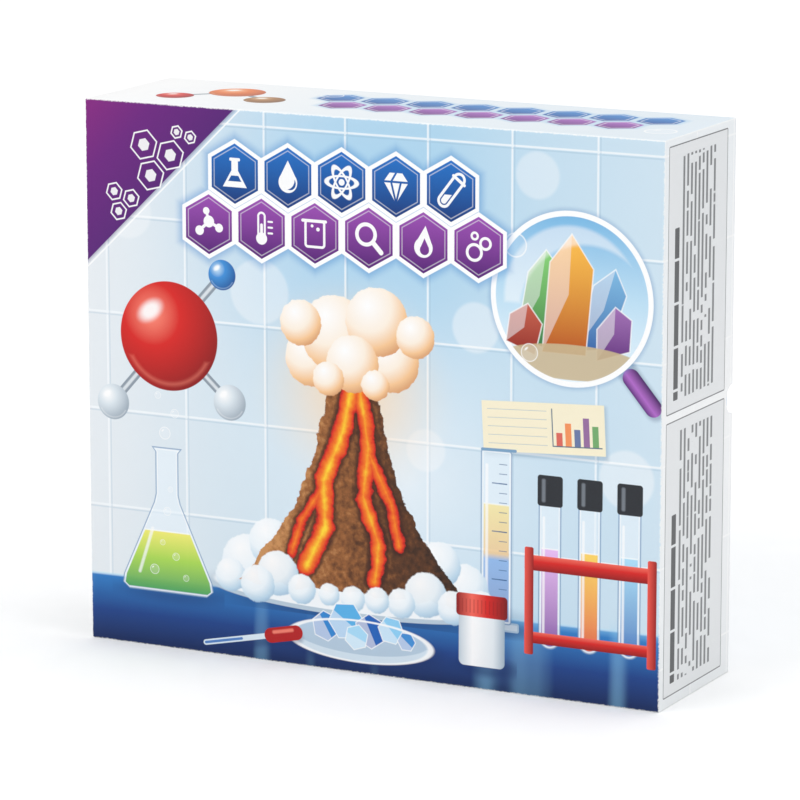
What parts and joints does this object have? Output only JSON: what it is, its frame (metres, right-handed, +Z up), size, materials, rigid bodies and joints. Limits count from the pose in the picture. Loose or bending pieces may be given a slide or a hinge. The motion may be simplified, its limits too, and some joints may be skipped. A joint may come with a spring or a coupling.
{
  "type": "chemistry set case",
  "caption": "Upright board case with a lift-off lid, a base, and a formed tray that holds a beaker, flask, capped tubes in a rack, syringe, pots, dish, goggles and small tools.",
  "frame": {"origin": "middle of the case's footprint, on the ground under it", "axes": "+X to the right of whoever faces the printed panel, -Y out of the printed panel, +Z up"},
  "size_m": [0.33, 0.09, 0.29],
  "materials": {
    "greyboard": "matte",
    "printed_paper": "gloss",
    "base_paper": "matte",
    "paper_tape": "matte",
    "tray_sheet": "satin",
    "book_paper": "matte",
    "book_cover": "gloss",
    "staple_wire": "satin",
    "rack_red": "satin",
    "clear_plastic": "gloss",
    "cap_black": "matte",
    "stopper_rubber": "matte",
    "pot_white": "satin",
    "cap_white": "satin",
    "cap_red": "satin",
    "plunger_blue": "satin",
    "seal_rubber": "matte",
    "tool_black": "satin",
    "tool_red": "satin",
    "tool_blue": "satin",
    "goggle_plastic": "gloss",
    "strap_elastic": "matte",
    "balloon_rubber": "satin"
  },
  "bodies": {
    "base": {"balloon_1": "balloon_rubber", "balloon_2": "balloon_rubber", "base_board": "greyboard", "base_corner_stays": "paper_tape", "base_wrap": "base_paper", "beaker": "clear_plastic", "booklet_cover": "book_cover", "booklet_pages": "book_paper", "booklet_staples": "staple_wire", "dropper": "clear_plastic", "flask": "clear_plastic", "goggles_clips": "tool_blue", "goggles_frame": "goggle_plastic", "goggles_lens": "clear_plastic", "goggles_strap": "strap_elastic", "goggles_vents": "goggle_plastic", "insert_tray": "tray_sheet", "measuring_spoon": "tool_blue", "petri_dish": "clear_plastic", "rack_left_end": "rack_red", "rack_lower_shelf": "rack_red", "rack_right_end": "rack_red", "rack_upper_shelf": "rack_red", "sample_pot_1": "pot_white", "sample_pot_2": "pot_white", "stirring_rod": "tool_red", "syringe_barrel": "clear_plastic", "test_tube_1": "clear_plastic", "test_tube_2": "clear_plastic", "test_tube_3": "clear_plastic", "tweezers": "tool_black"},
    "lid": {"lid_board": "greyboard", "lid_wrap": "printed_paper", "lid_corner_stays": "paper_tape"},
    "tube_cap_1": {"tube_cap_1": "cap_black"},
    "tube_cap_2": {"tube_cap_2": "cap_black"},
    "tube_cap_3": {"tube_cap_3": "cap_black"},
    "flask_stopper": {"flask_stopper": "stopper_rubber"},
    "petri_lid": {"petri_lid": "clear_plastic"},
    "sample_pot_cap_1": {"sample_pot_cap_1": "cap_white"},
    "sample_pot_cap_2": {"sample_pot_cap_2": "cap_red"},
    "syringe_plunger": {"syringe_plunger": "plunger_blue", "syringe_seal": "seal_rubber"}
  },
  "joints": [
    {"name": "lid_lift", "type": "slide", "parent": "base", "child": "lid", "axis": [0, -1, 0], "range_m": [0, 0.2]},
    {"name": "tube_cap_1_pull", "type": "slide", "parent": "base", "child": "tube_cap_1", "axis": [0, 0, 1], "range_m": [0, 0.018]},
    {"name": "tube_cap_2_pull", "type": "slide", "parent": "base", "child": "tube_cap_2", "axis": [0, 0, 1], "range_m": [0, 0.018]},
    {"name": "tube_cap_3_pull", "type": "slide", "parent": "base", "child": "tube_cap_3", "axis": [0, 0, 1], "range_m": [0, 0.018]},
    {"name": "stopper_pull", "type": "slide", "parent": "base", "child": "flask_stopper", "axis": [0, 0, 1], "range_m": [0, 0.018]},
    {"name": "petri_lid_lift", "type": "slide", "parent": "base", "child": "petri_lid", "axis": [0, -1, 0], "range_m": [0, 0.02]},
    {"name": "pot_cap_1_turn", "type": "hinge", "parent": "base", "child": "sample_pot_cap_1", "pos_m": [-0.0072, -0.021, 0.10775], "axis": [0, 0, 1], "range_deg": [0, 450]},
    {"name": "pot_cap_2_turn", "type": "hinge", "parent": "base", "child": "sample_pot_cap_2", "pos_m": [-0.0072, -0.021, 0.16295], "axis": [0, 0, 1], "range_deg": [0, 450]},
    {"name": "plunger_draw", "type": "slide", "parent": "base", "child": "syringe_plunger", "axis": [1, 0, 0], "range_m": [0, 0.046]}
  ]
}
